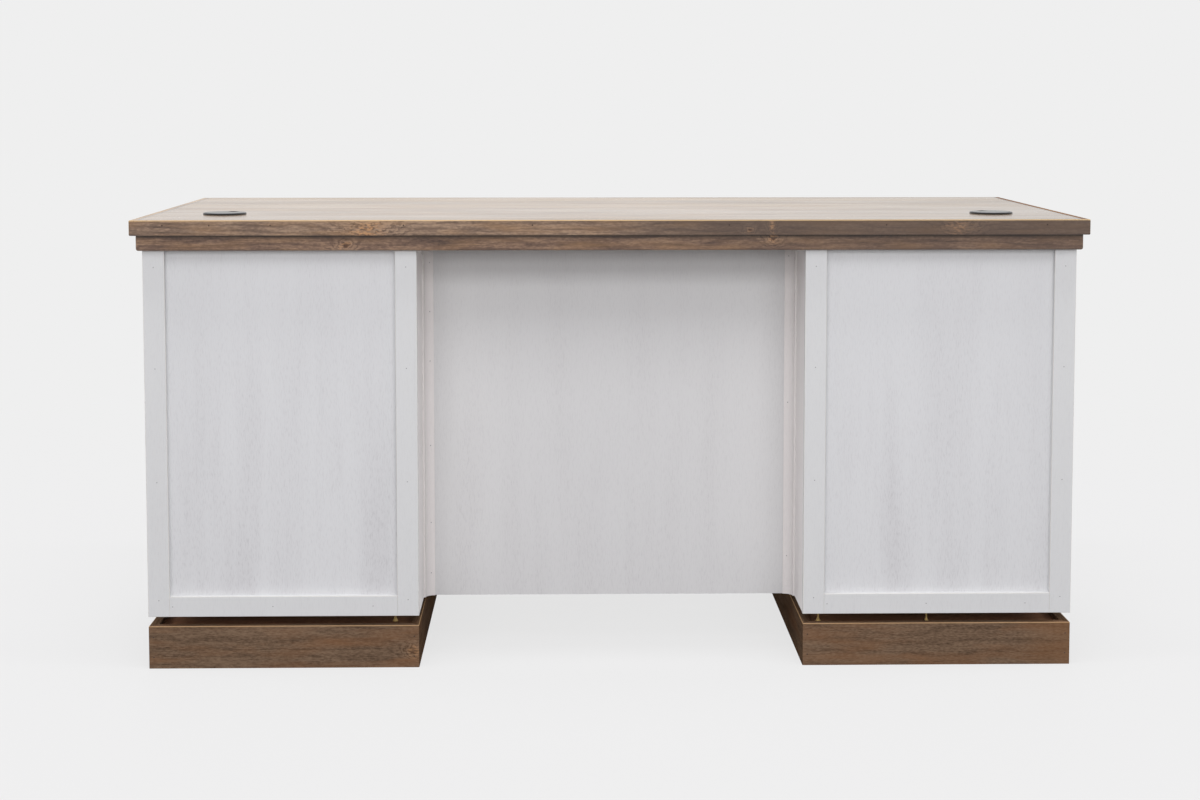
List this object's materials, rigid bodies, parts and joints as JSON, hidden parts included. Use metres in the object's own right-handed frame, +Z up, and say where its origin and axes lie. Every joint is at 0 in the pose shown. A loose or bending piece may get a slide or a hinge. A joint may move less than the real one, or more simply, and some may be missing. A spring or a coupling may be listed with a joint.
{
  "type": "office desk",
  "caption": "Double-pedestal office desk with a stained wood top and plinths, white panelled pedestals, modesty panel, sliding drawers and cable grommets.",
  "frame": {"origin": "on the floor under the middle of the top", "axes": "+X along the desk to the visitor's right, +Y from the visitor's side to the user's side, +Z up"},
  "size_m": [1.676, 0.762, 0.8005],
  "materials": {
    "stained_wood": "satin brown stain on close-grained wood",
    "white_paint": "satin white paint brushed on wood",
    "bare_wood": "clear-sealed pale plywood and wood",
    "black_plastic": "moulded glossy black plastic",
    "brass_screw": "yellow-plated wood screw",
    "slide_steel": "bright zinc-plated steel sheet",
    "black_pull": "matt black powder coat"
  },
  "bodies": {
    "desk": {"grommet_sleeves": "black_plastic", "left_back_frame": "white_paint", "left_back_panel": "white_paint", "left_bottom": "white_paint", "left_drawer_channels": "slide_steel", "left_end_frame": "white_paint", "left_inner_side": "white_paint", "left_outer_side": "white_paint", "left_plinth_bearers": "stained_wood", "left_plinth_cleats": "stained_wood", "left_plinth_face_boards": "stained_wood", "left_plinth_side_boards": "stained_wood", "left_stretchers": "bare_wood", "modesty_coves": "white_paint", "modesty_panel": "white_paint", "pencil_drawer_channels": "slide_steel", "right_back_frame": "white_paint", "right_back_panel": "white_paint", "right_bottom": "white_paint", "right_drawer_channels": "slide_steel", "right_end_frame": "white_paint", "right_inner_side": "white_paint", "right_outer_side": "white_paint", "right_plinth_bearers": "stained_wood", "right_plinth_cleats": "stained_wood", "right_plinth_face_boards": "stained_wood", "right_plinth_side_boards": "stained_wood", "right_stretchers": "bare_wood", "sub_top_end_rails": "stained_wood", "sub_top_long_rails": "stained_wood", "top_end_edges": "stained_wood", "top_long_edges": "stained_wood", "top_panel": "stained_wood", "wood_screws": "brass_screw"},
    "left_file_drawer": {"left_file_drawer_box": "bare_wood", "left_file_drawer_front": "white_paint", "left_file_drawer_pull": "black_pull", "left_file_drawer_runners": "slide_steel"},
    "left_middle_drawer": {"left_middle_drawer_box": "bare_wood", "left_middle_drawer_front": "white_paint", "left_middle_drawer_pull": "black_pull", "left_middle_drawer_runners": "slide_steel"},
    "left_top_drawer": {"left_top_drawer_box": "bare_wood", "left_top_drawer_front": "white_paint", "left_top_drawer_pull": "black_pull", "left_top_drawer_runners": "slide_steel"},
    "right_lower_file_drawer": {"right_lower_file_drawer_box": "bare_wood", "right_lower_file_drawer_front": "white_paint", "right_lower_file_drawer_pull": "black_pull", "right_lower_file_drawer_runners": "slide_steel"},
    "right_upper_file_drawer": {"right_upper_file_drawer_box": "bare_wood", "right_upper_file_drawer_front": "white_paint", "right_upper_file_drawer_pull": "black_pull", "right_upper_file_drawer_runners": "slide_steel"},
    "pencil_drawer": {"pencil_drawer_box": "bare_wood", "pencil_drawer_front": "white_paint", "pencil_drawer_pull": "black_pull", "pencil_drawer_runners": "slide_steel"},
    "left_grommet_cap": {"left_grommet_cap": "black_plastic"},
    "right_grommet_cap": {"right_grommet_cap": "black_plastic"}
  },
  "joints": [
    {"name": "left_file_drawer_slide", "type": "slide", "parent": "desk", "child": "left_file_drawer", "axis": [0, 1, 0], "range_m": [0, 0.34]},
    {"name": "left_middle_drawer_slide", "type": "slide", "parent": "desk", "child": "left_middle_drawer", "axis": [0, 1, 0], "range_m": [0, 0.34]},
    {"name": "left_top_drawer_slide", "type": "slide", "parent": "desk", "child": "left_top_drawer", "axis": [0, 1, 0], "range_m": [0, 0.34]},
    {"name": "right_lower_file_drawer_slide", "type": "slide", "parent": "desk", "child": "right_lower_file_drawer", "axis": [0, 1, 0], "range_m": [0, 0.34]},
    {"name": "right_upper_file_drawer_slide", "type": "slide", "parent": "desk", "child": "right_upper_file_drawer", "axis": [0, 1, 0], "range_m": [0, 0.34]},
    {"name": "pencil_drawer_slide", "type": "slide", "parent": "desk", "child": "pencil_drawer", "axis": [0, 1, 0], "range_m": [0, 0.3]},
    {"name": "left_grommet_cap_lift", "type": "slide", "parent": "desk", "child": "left_grommet_cap", "axis": [0, 0, 1], "range_m": [0, 0.05]},
    {"name": "right_grommet_cap_lift", "type": "slide", "parent": "desk", "child": "right_grommet_cap", "axis": [0, 0, 1], "range_m": [0, 0.05]}
  ]
}
